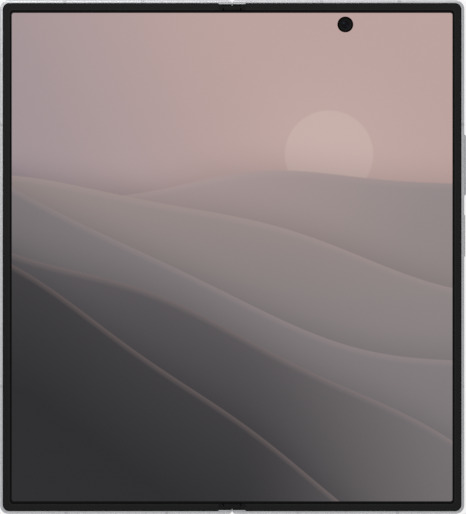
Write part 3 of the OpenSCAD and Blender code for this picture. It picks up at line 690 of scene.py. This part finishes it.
def piece_of(bm, name, material, smooth=40):
    """The finished mesh as an object at the origin, smooth but for its sharp edges."""
    for face in bm.faces:
        face.smooth = True
    limit = math.radians(smooth)
    for edge in bm.edges:
        edge.smooth = len(edge.link_faces) == 2 and edge.calc_face_angle() < limit
    mesh = bpy.data.meshes.new(name)
    bm.to_mesh(mesh)
    bm.free()
    mesh.materials.append(material)
    piece = bpy.data.objects.new(name, mesh)
    bpy.context.scene.collection.objects.link(piece)
    return piece


def even_normals(piece):
    """Keeps large flat faces flat where they run into a rounded edge."""
    weighted = piece.modifiers.new("Even normals", "WEIGHTED_NORMAL")
    weighted.keep_sharp = True
    return piece


def fit(piece, body, slot, *nodes):
    """Sets the piece on its body and hides the nodes that it stands for. Its slot is not used."""
    if nodes:
        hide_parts(*nodes)
    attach(piece, body)


def fit_fold(piece, side, slot, height, *nodes):
    """Hides the piece's nodes and bakes its place into its mesh; side, slot and height are not used."""
    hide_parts(*nodes)
    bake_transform(piece)


def dressed_node(node, body, slot, material, edge=0.0, segments=2):
    """A CAD node's own shape with smooth curves and, where a width is given, broken edges."""
    bm = merged_copy(node)
    if edge:
        broken_edges(cleaned(bm), edge, segments)
    piece = even_normals(piece_of(bm, f"{node}_finished", material))
    fit(piece, body, slot, node)


def turned(bm, centre, outline, steps=64):
    """A full turn of an outline of (radius, height) points about an upright axis."""
    points = [bm.verts.new((centre.x + r, centre.y, z)) for r, z in outline]
    edges = [bm.edges.new(pair) for pair in zip(points, points[1:])]
    bmesh.ops.spin(
        bm, geom=points + edges, cent=(centre.x, centre.y, 0), axis=(0, 0, 1),
        angle=2 * math.pi, steps=steps, use_merge=True,
    )
    bmesh.ops.remove_doubles(bm, verts=bm.verts, dist=0.001 * MM)
    bmesh.ops.recalc_face_normals(bm, faces=bm.faces)


def brick(bm, low, high, edge):
    """A block between two corners with its edges broken."""
    low, high = Vector(low), Vector(high)
    made = bmesh.ops.create_cube(bm, size=1)["verts"]
    bmesh.ops.scale(bm, vec=high - low, verts=made)
    bmesh.ops.translate(bm, vec=(low + high) / 2, verts=made)
    rounded(bm, list({e for v in made for e in v.link_edges}), edge)


def square_block(bm, centre, half, bottom, top, edge):
    """A square block about an upright axis."""
    low = (centre.x - half, centre.y - half, bottom)
    high = (centre.x + half, centre.y + half, top)
    brick(bm, low, high, edge)


def cut(bm, point, normal, **clear):
    """Cuts every face with a plane."""
    geom = bm.verts[:] + bm.edges[:] + bm.faces[:]
    bmesh.ops.bisect_plane(bm, geom=geom, dist=0.0002 * MM, plane_co=point, plane_no=normal, **clear)


def thickened(bm, depth):
    """Gives a flat sheet its thickness, downwards."""
    made = bmesh.ops.extrude_face_region(bm, geom=bm.faces[:])["geom"]
    lower = [v for v in made if isinstance(v, bmesh.types.BMVert)]
    bmesh.ops.translate(bm, vec=(0, 0, -depth), verts=lower)
    bmesh.ops.recalc_face_normals(bm, faces=bm.faces)


# ---- Pieces

FOLD_CUTS = 24
HOLE_SIDE_CUTS = 15
HOLE_MARGIN = 0.7 * MM


def screen_sheet(settings, punched):
    """The right half of the inner screen: a narrow strip up to the fold and a wide plate."""
    fold, edge, end, top = SCREEN_LOW.x, SCREEN_HIGH.x, SCREEN_HIGH.y, SCREEN_HIGH.z
    bm = bmesh.new()
    inner = [bm.verts.new((0, y, top)) for y in (-STRIP_END, STRIP_END)]
    seam = [bm.verts.new((fold, y, top)) for y in (-STRIP_END, STRIP_END)]
    corners = ((fold, -end, top), (edge, -end, top), (edge, end, top), (fold, end, top))
    outer = [bm.verts.new(corner) for corner in corners]
    bm.faces.new((inner[0], seam[0], seam[1], inner[1]))
    bm.faces.new((seam[0], *outer, seam[1]))
    rounded(bm, outer[1:3], settings.glass_corner, 8, "VERTICES")
    for i in range(1, FOLD_CUTS):
        cut(bm, (fold * i / FOLD_CUTS, 0, 0), (1, 0, 0))
    if punched:
        punch(bm, settings.punch_radius)
    thickened(bm, settings.thickness)
    return bm


def punch(bm, radius):
    """Opens the round hole for the front camera."""
    reach = radius + HOLE_MARGIN
    for side in (-1, 1):
        cut(bm, (PUNCH.x + side * reach, 0, 0), (1, 0, 0))
        cut(bm, (0, PUNCH.y + side * reach, 0), (0, 1, 0))
    cell = min(bm.faces, key=lambda f: (f.calc_center_median().xy - PUNCH.xy).length)
    sides = cell.edges[:]
    bmesh.ops.delete(bm, geom=[cell], context="FACES_ONLY")
    bmesh.ops.subdivide_edges(bm, edges=sides, cuts=HOLE_SIDE_CUTS)
    corner = (reach + 0.01 * MM) * math.sqrt(2)
    square = [
        e for e in bm.edges
        if e.is_boundary and all((v.co.xy - PUNCH.xy).length < corner for v in e.verts)
    ]
    steps = 4 * (HOLE_SIDE_CUTS + 1)
    ring = bmesh.ops.create_circle(bm, segments=steps, radius=radius)["verts"]
    bmesh.ops.translate(bm, vec=(PUNCH.x, PUNCH.y, SCREEN_HIGH.z + radius), verts=ring)
    rim = list({e for v in ring for e in v.link_edges})
    bmesh.ops.bridge_loops(bm, edges=square + rim)
    bmesh.ops.translate(bm, vec=(0, 0, -radius), verts=ring)


def laid_out(piece):
    """Stores each point's place on the flat screen as the piece's map, so the picture bends."""
    mesh = piece.data
    layer = mesh.uv_layers.new(name="screen")
    for loop in mesh.loops:
        layer.data[loop.index].uv = mesh.vertices[loop.vertex_index].co.xy
    return piece


def inner_screen(settings):
    """The two halves of the inner screen: the right one punched for the camera, the left one mirrored."""
    material = lit_screen(settings)
    for side in SIDES:
        bm = screen_sheet(settings, punched=side == "right")
        if side == "left":
            bmesh.ops.scale(bm, vec=(-1, 1, 1), verts=bm.verts)
            bmesh.ops.recalc_face_normals(bm, faces=bm.faces)
        piece = laid_out(piece_of(bm, f"{side}_inner_screen", material, smooth=30))
        fit_fold(piece, side, "screen_glass", SCREEN_HIGH.z, f"{side}_display", "fold_display")


def fold_layer(node, slot, material, cuts):
    """A thin layer that crosses the fold, as two halves with cuts across each."""
    for side, sign in SIDES.items():
        bm = merged_copy(node)
        cut(bm, (0, 0, 0), (sign, 0, 0), clear_inner=True)
        reach = max(abs(v.co.x) for v in bm.verts)
        for i in range(1, cuts):
            cut(bm, (sign * reach * i / cuts, 0, 0), (1, 0, 0))
        bmesh.ops.holes_fill(bm, edges=[e for e in bm.edges if e.is_boundary])
        bmesh.ops.recalc_face_normals(bm, faces=bm.faces)
        fit_fold(piece_of(bm, f"{side}_{node}", material, smooth=30), side, slot, 0, node)


# Outlines of the cameras from rim to lens, in mm: radius, and depth behind the front face
REAR_BARREL = (
    (4.45, 0), (4.25, 0), (4.0, 0.12), (3.5, 0.14), (3.3, 0.5), (2.9, 0.55), (2.75, 0.8),
    (2.3, 0.84), (2.15, 0.62), (1.6, 0.46), (0.9, 0.36), (0.3, 0.33), (0, 0.33),
)
FRONT_BARREL = (
    (2.3, 0.06), (2.24, 0), (2.08, 0), (2.0, 0.08), (1.3, 0.30), (1.1, 0.32), (0.95, 0.22),
    (0.5, 0.14), (0, 0.12),
)
REAR_BARREL_DEPTH = 4.2 * MM
HOUSING_HALF = 5.6 * MM
FRONT_HOUSING_HEIGHT = 1.2 * MM


def barrel(shape, foot, front, inwards):
    """A camera's outline, from its foot to its lens. Its depths run up (1) or down (-1)."""
    outline = [(0, foot), (shape[0][0] * MM, foot)]
    return outline + [(radius * MM, front + inwards * depth * MM) for radius, depth in shape]


def rear_lenses(metal):
    """Three cameras with stepped barrels, their cover glasses and their turned rings."""
    low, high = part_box("rear_cameras")
    foot = low.z + REAR_BARREL_DEPTH
    bm = bmesh.new()
    for centre in LENSES:
        turned(bm, centre, barrel(REAR_BARREL, foot, low.z, 1))
        square_block(bm, centre, HOUSING_HALF, foot, high.z, 0.15 * MM)
    piece = piece_of(bm, "rear_camera_barrels", lens_black("camera_black", LENSES, 2.2 * MM))
    fit(piece, "right_half", "camera_black", "rear_cameras")
    glass = clear_glass("coated_glass", (0.80, 0.86, 0.95))
    dressed_node("lens_glasses", "right_half", "lens_glass", glass, 0.05 * MM)
    rings = turned_metal("turned_ring", metal.ring, LENSES)
    dressed_node("lens_rings", "right_half", "ring_metal", rings, 0.12 * MM, 3)


def flash_lens():
    """The flash's lens, with rings pressed into its face, on its square carrier."""
    low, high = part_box("flash")
    radius = (high.x - low.x) / 2
    chamfer, border, ring_depth, ring_count = 0.08 * MM, 0.25 * MM, 0.09 * MM, 5
    face, back = low.z, low.z + 0.5 * MM
    outline = [(0, back), (radius, back), (radius, face + chamfer), (radius - chamfer, face)]
    for i in range(ring_count):
        rim = radius - border - i * RIPPLE
        outline += [(rim, face), (rim - 0.05 * MM, face + ring_depth)]
    outline += [(0.3 * MM, face + 0.03 * MM), (0, face + 0.02 * MM)]
    bm = bmesh.new()
    turned(bm, FLASH, outline)
    square_block(bm, FLASH, 1.6 * MM, back, high.z, 0.05 * MM)
    piece = piece_of(bm, "flash_lens", flash_plastic("flash_plastic", FLASH, rgb(236, 230, 206)))
    fit(piece, "right_half", "flash_lens", "flash")


def selfie_camera():
    """The front camera's barrel with a collar, a cone and a small domed lens."""
    low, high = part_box("selfie_camera")
    foot = low.z + FRONT_HOUSING_HEIGHT
    bm = bmesh.new()
    turned(bm, PUNCH, barrel(FRONT_BARREL, foot, high.z, -1))
    brick(bm, low, (high.x, high.y, foot), 0.15 * MM)
    piece = piece_of(bm, "selfie_camera_barrel", selfie_black("selfie_black", PUNCH))
    fit(piece, "right_half", "camera_black", "selfie_camera")


def cover_pane():
    """The outer screen's glass with a window for its camera."""
    bm = cleaned(merged_copy("cover_glass"))
    broken_edges(bm, 0.12 * MM, 3)
    finish = black_glass("cover_black_glass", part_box("cover_display"), COVER_CAMERA)
    pane = even_normals(piece_of(bm, "cover_pane", finish))
    fit(pane, "left_half", "black_glass", "cover_glass")


def contact_pads():
    """Gold contacts on both faces of the port's tongue."""
    pads, pitch, half_width, half_height = 12, 0.5 * MM, 0.15 * MM, 0.03 * MM
    bm = bmesh.new()
    for face in (-1, 1):
        for i in range(pads):
            x = PORT.x + (i - (pads - 1) / 2) * pitch
            z = PORT.z + face * TONGUE_HALF_HEIGHT
            low = (x - half_width, PORT_MOUTH + 1.0 * MM, z - half_height)
            high = (x + half_width, PORT_MOUTH + 4.4 * MM, z + half_height)
            brick(bm, low, high, 0.01 * MM)
    gold = brushed_metal("gold_contacts", (0.83, 0.58, 0.22), 0.24)
    fit(piece_of(bm, "usb_c_contacts", gold), "right_half", "contact_gold")


def sound_gauzes():
    """Strips of gauze behind the two rows of sound holes."""
    gauze = black_gauze("black_gauze")
    inset, near, far = 0.3 * MM, 0.05 * MM, 0.35 * MM
    bottom, top = BACK + 1.2 * MM, BACK + 2.8 * MM
    speaker_low, speaker_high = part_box("loudspeaker")
    earpiece_low, earpiece_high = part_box("earpiece_speaker")
    rows = (
        ("speaker_gauze", "right_half", speaker_low, speaker_high, speaker_low.y - far),
        ("earpiece_gauze", "left_half", earpiece_low, earpiece_high, earpiece_high.y + near),
    )
    for name, body, low, high, start in rows:
        bm = bmesh.new()
        near_corner = (low.x + inset, start, bottom)
        far_corner = (high.x - inset, start + far - near, top)
        brick(bm, near_corner, far_corner, 0.05 * MM)
        fit(piece_of(bm, name, gauze), body, "camera_black")


def paint(node, material):
    """Gives a CAD node its finish and leaves its shape alone."""
    thing = frame["nodes"][node]
    if not thing.material_slots:
        thing.data.materials.append(material)
    for slot in thing.material_slots:
        slot.material = material


# ---- Operators


class Undoable:
    """Lets the user undo an operator."""

    bl_options = {"REGISTER", "UNDO"}


class PHONE_OT_stage(Undoable, bpy.types.Operator):
    """Sets the camera over the opened phone, the lamps, the world and the floor"""

    bl_idname = "phone.stage"
    bl_label = "Stage"

    def execute(self, context):
        scene = context.scene
        settings = scene.phone_stage
        scene.view_settings.view_transform = "Standard"
        self.camera(scene, settings.lens)
        self.lamp(scene, "key_lamp", settings.key_power, 0.35, (-0.24, 0.38, 0.75))
        self.lamp(scene, "fill_lamp", settings.fill_power, 1.2, (0.1, -1.0, 0.9))
        self.world(scene)
        self.floor(settings.floor)
        return {"FINISHED"}

    def camera(self, scene, lens):
        """Looks straight down from far off, with the phone's length filling the picture."""
        image_width, image_height = 466, 514
        fold_pixel_x, fold_pixel_y = 232.1, 257.1
        sensor = 36
        length = cad_box[1].y - cad_box[0].y
        data = bpy.data.cameras.new("camera")
        data.lens = lens
        data.sensor_width = sensor
        data.clip_end = 20
        camera = bpy.data.objects.new("camera", data)
        metres_per_pixel = length / image_height
        across = (image_width / 2 - fold_pixel_x) * metres_per_pixel
        up = (fold_pixel_y - image_height / 2) * metres_per_pixel
        camera.location = (across, up, LIP_TOP + length * lens / sensor)
        scene.collection.objects.link(camera)
        scene.camera = camera

    def lamp(self, scene, name, power, size, place):
        """A square lamp that faces the phone."""
        data = bpy.data.lights.new(name, "AREA")
        data.energy = power
        data.size = size
        lamp = bpy.data.objects.new(name, data)
        lamp.location = place
        lamp.rotation_mode = "QUATERNION"
        lamp.rotation_quaternion = Vector(place).to_track_quat("Z", "Y")
        scene.collection.objects.link(lamp)

    def world(self, scene):
        """Bright walls, a softer ceiling with a dark patch overhead, and white for the camera."""
        world = bpy.data.worlds.new("studio")
        world.use_nodes = True
        scene.world = world
        studio = Nodes(world.node_tree, "Generated")
        x, y, z = studio.axes()
        walls = 0.33 + y * 0.30 + y * y * 0.05 - x * 0.06
        ceiling = 0.52 + y * 0.3 - x * 0.28
        slope = studio.ramp(z, 0.35, 0.65) * studio.fade(z, 0.80, 0.93)
        patch = studio.ramp(z, 0.990, 0.9955)
        underneath = studio.fade(z, -0.3, -0.02)
        level = walls + (ceiling - walls) * studio.ramp(z, 0.5, 0.9)
        level = level + slope * (0.30 + y * 0.08 + x * 0.03)
        level = level * (1 - patch * 0.8) + underneath * 0.4
        path = studio.node("ShaderNodeLightPath", {}, {})
        seen = Flow(studio.tree, path.outputs["Is Camera Ray"])
        inputs = {"Color": (1, 1, 1), "Strength": level * (1 - seen) + seen}
        background = studio.node("ShaderNodeBackground", {}, inputs)
        studio.node("ShaderNodeOutputWorld", {}, {"Surface": background.outputs[0]})

    def floor(self, tone):
        """A pale floor that keeps the phone's shadow and looks white to camera, metal and glass."""
        bm = bmesh.new()
        bmesh.ops.create_grid(bm, x_segments=1, y_segments=1, size=3)
        bmesh.ops.translate(bm, vec=(0, 0, cad_box[0].z - 0.02 * MM), verts=bm.verts)
        finish = Finish("pale_floor", {"Roughness": 0.9, "Specular IOR Level": 0.1})
        finish.set("Base Color", finish.mix(finish.noise(8, 2), shaded(tone, 0.98), tone))
        path = finish.node("ShaderNodeLightPath", {}, {})
        glow = 0
        for ray, share in (("Camera", 0.85), ("Glossy", 0.35), ("Transmission", 0.85)):
            seen = Flow(finish.tree, path.outputs[f"Is {ray} Ray"]) * share
            glow = seen.largest(glow)
        white = finish.node("ShaderNodeEmission", {}, {"Color": (1, 1, 1), "Strength": 1.0})
        inputs = {0: glow, 1: finish.shader.outputs[0], 2: white.outputs[0]}
        both = finish.node("ShaderNodeMixShader", {}, inputs)
        join(finish.tree, finish.output.inputs["Surface"], both.outputs[0])
        piece_of(bm, "floor", finish.material)


class PHONE_OT_inner_screen(Undoable, bpy.types.Operator):
    """Makes the inner screen as two sheets that meet at the hinge"""

    bl_idname = "phone.inner_screen"
    bl_label = "Inner screen"

    def execute(self, context):
        inner_screen(context.scene.phone_screen)
        return {"FINISHED"}


class PHONE_OT_fold_layers(Undoable, bpy.types.Operator):
    """Makes the lattice plate and the cables under the screen, each in two halves"""

    bl_idname = "phone.fold_layers"
    bl_label = "Layers under the fold"

    def execute(self, context):
        steel = brushed_metal("lattice_steel", (0.52, 0.53, 0.55), 0.3)
        fold_layer("fold_support_lattice", "spring_steel", steel, 10)
        fold_layer("hinge_flex_cables", "flex_film", film_strip("amber_film"), 8)
        return {"FINISHED"}


class PHONE_OT_metalwork(Undoable, bpy.types.Operator):
    """Finishes the two frames, the spine, the keys, the card tray and the camera island"""

    bl_idname = "phone.metalwork"
    bl_label = "Metalwork"

    def execute(self, context):
        metal = context.scene.phone_metal
        tone, roughness = metal.frame, 0.34
        # The frames get black painted shade inside their hinge bay.
        silver = blasted_metal("frame_silver", tone, roughness, painted_shade=painted_shade_in_bay)
        for side in SIDES:
            dressed_node(f"{side}_frame", f"{side}_half", "satin_aluminium", silver)
        # The spine gets black painted shade in its trough and on its rim.
        silver = blasted_metal("spine_silver", tone, roughness, painted_shade=painted_shade_in_spine)
        dressed_node("hinge_spine", "spine", "satin_aluminium", silver)
        silver = blasted_metal("satin_silver", tone, roughness)
        for node in ("volume_rocker", "side_key", "sim_tray"):
            dressed_node(node, node, "satin_aluminium", silver, metal.edge)
        island = blasted_metal("blasted_island", metal.island, 0.38, 7000)
        dressed_node("camera_island", "right_half", "island_metal", island, 0.3 * MM, 4)
        return {"FINISHED"}


class PHONE_OT_surround(Undoable, bpy.types.Operator):
    """Finishes the raised strip round the screen, the end caps and the antenna breaks"""

    bl_idname = "phone.surround"
    bl_label = "Surround"

    def execute(self, context):
        shell = context.scene.phone_shell
        black = surround_plastic("surround_black", shell.surround)
        slot, edge = "surround_plastic", 0.12 * MM
        for side in SIDES:
            dressed_node(f"{side}_screen_surround", f"{side}_half", slot, black, edge)
        dressed_node("hinge_end_caps", "spine", slot, black, 0.08 * MM)
        grey = moulded_plastic("antenna_grey", shell.antenna, 0.36, 0.7)
        for side in SIDES:
            dressed_node(f"{side}_antenna_breaks", f"{side}_half", "antenna_plastic", grey)
        return {"FINISHED"}


class PHONE_OT_back(Undoable, bpy.types.Operator):
    """Finishes the frosted rear panel, the flash and the outer screen's glass"""

    bl_idname = "phone.back"
    bl_label = "Back"

    def execute(self, context):
        frosted = frosted_glass("frosted_silver", context.scene.phone_shell.panel)
        dressed_node("rear_panel", "right_half", "panel_glass", frosted, 0.1 * MM)
        flash_lens()
        cover_pane()
        return {"FINISHED"}


class PHONE_OT_cameras(Undoable, bpy.types.Operator):
    """Makes the rear cameras under their glasses and rings, and the front camera"""

    bl_idname = "phone.cameras"
    bl_label = "Cameras"

    def execute(self, context):
        rear_lenses(context.scene.phone_metal)
        selfie_camera()
        return {"FINISHED"}


class PHONE_OT_ports(Undoable, bpy.types.Operator):
    """Makes the port's contacts and the gauze behind the sound holes"""

    bl_idname = "phone.ports"
    bl_label = "Ports and sound holes"

    def execute(self, context):
        contact_pads()
        sound_gauzes()
        return {"FINISHED"}


class PHONE_OT_inner_parts(Undoable, bpy.types.Operator):
    """Gives every part inside the phone its own finish"""

    bl_idname = "phone.inner_parts"
    bl_label = "Inner parts"

    def execute(self, context):
        gears = "left_swing_gear left_idler_gear right_idler_gear right_swing_gear"
        hinge_parts = "right_arcs left_arcs hinge_brackets gear_frames"
        finishes = (
            (pouch_foil("battery_foil"), "right_battery left_battery"),
            (solder_resist("green_resist"), "main_board usb_board left_upper_board left_lower_board"),
            (wound_copper("coil_copper", middle("charging_coil")), "charging_coil"),
            (moulded_plastic("chip_epoxy", (0.016, 0.016, 0.018), 0.5), "board_chips"),
            (moulded_plastic("speaker_black", (0.02, 0.02, 0.022), 0.4), "loudspeaker earpiece_speaker"),
            (brushed_metal("tinned_sheet", (0.6, 0.6, 0.59), 0.32), "shield_cans sim_reader microphones"),
            (brushed_metal("ground_steel", (0.5, 0.5, 0.51), 0.28), hinge_parts),
            (port_steel("port_steel"), "usb_c_port"),
            (brushed_metal("motor_case", (0.58, 0.58, 0.6), 0.25, "X"), "vibration_motor"),
            (blasted_metal("screw_zinc", (0.32, 0.32, 0.33), 0.3), "right_screws left_screws hinge_screws"),
            (brushed_metal("hobbed_brass", (0.6, 0.44, 0.2), 0.25), gears),
            (brushed_metal("magnet_nickel", (0.5, 0.5, 0.5), 0.14), "right_magnets left_magnets"),
            (brushed_metal("gold_plate", (0.78, 0.56, 0.24), 0.25), "key_switches sim_card"),
            (film_strip("tail_film"), "right_flex_tails left_flex_tails"),
            (black_glass("dark_panel"), "cover_display fingerprint_sensor"),
            (lens_black("cover_camera_black", [COVER_CAMERA], 1.3 * MM), "cover_camera"),
        )
        for material, nodes in finishes:
            for node in nodes.split():
                paint(node, material)
        return {"FINISHED"}


class PHONE_PT_panel(bpy.types.Panel):
    """Lists the phone's settings and pieces"""

    bl_label = "Folding phone"
    bl_idname = "PHONE_PT_panel"
    bl_space_type = "VIEW_3D"
    bl_region_type = "UI"
    bl_category = "Phone"

    def draw(self, context):
        for group in SETTINGS:
            box = self.layout.box()
            settings = getattr(context.scene, group)
            for name in settings.bl_rna.properties.keys():
                if name not in ("rna_type", "name"):
                    box.prop(settings, name)
        for operator in OPERATORS:
            self.layout.operator(operator.bl_idname)


SETTINGS = {
    "phone_screen": ScreenSettings,
    "phone_metal": MetalSettings,
    "phone_shell": ShellSettings,
    "phone_stage": StageSettings,
}
OPERATORS = (
    PHONE_OT_stage,
    PHONE_OT_inner_screen,
    PHONE_OT_fold_layers,
    PHONE_OT_metalwork,
    PHONE_OT_surround,
    PHONE_OT_back,
    PHONE_OT_cameras,
    PHONE_OT_ports,
    PHONE_OT_inner_parts,
)


def register():
    """Registers the add-on's classes and hangs its settings on the scene."""
    for made in (*SETTINGS.values(), *OPERATORS, PHONE_PT_panel):
        bpy.utils.register_class(made)
    for name, group in SETTINGS.items():
        setattr(bpy.types.Scene, name, bpy.props.PointerProperty(type=group))


def unregister():
    """Takes the settings and the classes away again."""
    for name in SETTINGS:
        delattr(bpy.types.Scene, name)
    for made in (PHONE_PT_panel, *reversed(OPERATORS), *reversed(SETTINGS.values())):
        bpy.utils.unregister_class(made)


def main():
    """Registers the add-on and makes the phone, piece by piece."""
    register()
    for operator in OPERATORS:
        group, name = operator.bl_idname.split(".")
        getattr(getattr(bpy.ops, group), name)()


if __name__ == "__main__":
    main()
